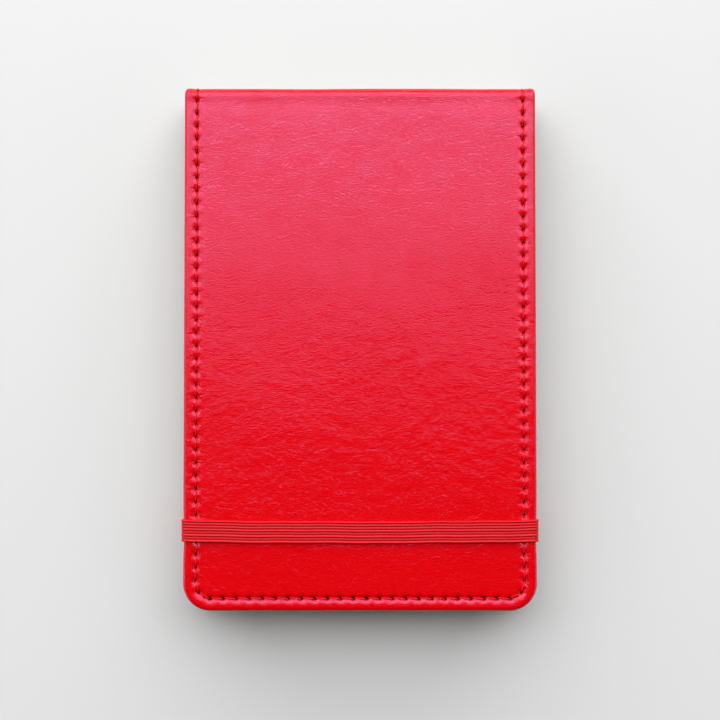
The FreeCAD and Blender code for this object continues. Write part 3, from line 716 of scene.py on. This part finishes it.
# one cross line every step: in from the seam, up the side, round the edge and over the top
corner_x, corner_z = side_x - bend, top_z - bend
legs = np.arange(seat_z, corner_z, step)
arc = np.linspace(0, math.pi / 2, 14)[1:]
path_x = np.concatenate([np.full(len(legs), side_x), corner_x + bend * np.cos(arc)])
path_z = np.concatenate([legs, corner_z + bend * np.sin(arc)])
normal_x = np.concatenate([np.ones(len(legs)), np.cos(arc)])
normal_z = np.concatenate([np.zeros(len(legs)), np.sin(arc)])
tuck, tucked_in = np.linspace(0, 1, 8)[:-1], 2.2
path_x = np.concatenate([side_x - tucked_in * (1 - tuck) ** 2, path_x])
path_z = np.concatenate([np.full(len(tuck), seat_z - 0.02), path_z])
normal_x = np.concatenate([np.sin(tuck * math.pi / 2), normal_x])
normal_z = np.concatenate([-np.cos(tuck * math.pi / 2), normal_z])
span = np.arange(corner_x - step, -corner_x, -step)
path_x = np.concatenate([path_x, span, -path_x[::-1]])
path_z = np.concatenate([path_z, np.full(len(span), top_z), path_z[::-1]])
normal_x = np.concatenate([normal_x, np.zeros(len(span)), -normal_x[::-1]])
normal_z = np.concatenate([normal_z, np.ones(len(span)), normal_z[::-1]])
travelled = np.concatenate([[0], np.cumsum(np.hypot(np.diff(path_x), np.diff(path_z)))])

rib_heights = np.array([1.0, 0.7, 0.6, 0.65, 0.35, 0.8, 0.35, 0.75])
across = np.linspace(0, 1, 81)
place = across * len(rib_heights) - 0.5
nearest = np.clip(np.round(place), 0, len(rib_heights) - 1).astype(int)
raised = np.clip(np.cos((place - nearest) * math.pi), 0, 1) ** 0.8 * rib_heights[nearest]
rim_drop = 0.25 * np.exp(-(np.minimum(across, 1 - across) / 0.015) ** 2)
weft_pitch, under_face = 0.5, 0.02
points, pattern, marks = [], [], []
for number, gone in enumerate(travelled):
    sag = -0.38 * max(0.0, 1 - (path_x[number] / half_width) ** 2)
    wobble = 0.05 * math.sin(gone / 5.0) + 0.03 * math.sin(gone / 2.1 + 1)
    y = elastic_y + 0.12 + sag + (0.5 - across) * band_width + wobble
    weft = 0.5 + 0.5 * np.cos(2 * math.pi * gone / weft_pitch + math.pi * (nearest % 2))
    height = 0.27 + 0.26 * raised + 0.05 * weft * (1 - 0.6 * raised) - rim_drop
    px, pz = path_x[number], path_z[number]
    out_x, out_z = normal_x[number], normal_z[number]
    points += [(px + out_x * t, w, pz + out_z * t) for w, t in zip(y, height)]
    points += [(px + out_x * under_face, w, pz + out_z * under_face) for w in y[::-8]]
    pattern += [(gone, w, 0) for w in across * band_width]
    pattern += [(gone, w, 1) for w in (across * band_width)[::-8]]
    # colour mask: low between the ribs and on the underside, where the shader paints shade
    marks += list(0.35 + 0.65 * raised - 0.25 * weft * (1 - raised)) + [0.2] * len(y[::-8])
size = len(points) // len(travelled)
faces = [
    (r * size + c, r * size + (c + 1) % size, (r + 1) * size + (c + 1) % size,
     (r + 1) * size + c)
    for r in range(len(travelled) - 1) for c in range(size)
]
band = new_piece("ribbed_band", np.array(points) * MM, faces, elastic_red, pattern,
                 raised=marks)
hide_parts("elastic_band")
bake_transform(band)
for node in ("elastic_end_left", "elastic_end_right"):
    frame["nodes"][node].material_slots[0].material = elastic_red


# ---- Floor and light
# A plain pale table, one broad soft window light from beyond the spine, and weak light from the
# walls on both sides and from the room.

# Pale table: an even matt grey white that shows only soft shadows.
floor_white, tree, surface = new_material("pale table")
set_surface(surface, Base_Color=colour("#C6C6C6"), Roughness=0.7, Specular_IOR_Level=0.2)
half_floor, below_case = 3.0, 0.0003
floor_corners = np.array([(-1, -1, 0), (1, -1, 0), (1, 1, 0), (-1, 1, 0)]) * half_floor
floor = new_piece("table", floor_corners, [(0, 1, 2, 3)], floor_white)
floor.location.z = -below_case


def panel(name, wide, tall, watts, turn, rise, away):
    """A soft rectangular light aimed at the notebook. turn and rise are its direction in degrees,
    from straight beyond the spine and from the table."""
    light = bpy.data.lights.new(name, "AREA")
    light.shape = "RECTANGLE"
    light.size, light.size_y, light.energy = wide, tall, watts
    lamp = bpy.data.objects.new(name, light)
    bpy.context.collection.objects.link(lamp)
    turn, rise = math.radians(turn), math.radians(rise)
    lamp.location = Vector((math.sin(turn) * math.cos(rise), math.cos(turn) * math.cos(rise),
                            math.sin(rise))) * away
    lamp.rotation_euler = (-lamp.location).to_track_quat("-Z", "Y").to_euler()
    return lamp


panel("window, upper part", 3.4, 1.7, 56, -3, 55, 1.6)
# the lower part is screened from reflections, which would whiten the cover from a low angle
low_window = panel("window, lower part", 3.4, 0.8, 60, -2, 14, 1.6)
low_window.visible_glossy = False
panel("left wall", 1.6, 0.5, 4, -100, 22, 1.3)
panel("right wall", 1.6, 0.5, 2.5, 100, 22, 1.3)

world = bpy.data.worlds.new("room")
bpy.context.scene.world = world
world.use_nodes = True
world.node_tree.nodes["Background"].inputs["Color"].default_value = (1, 1, 1, 1)
world.node_tree.nodes["Background"].inputs["Strength"].default_value = 0.03
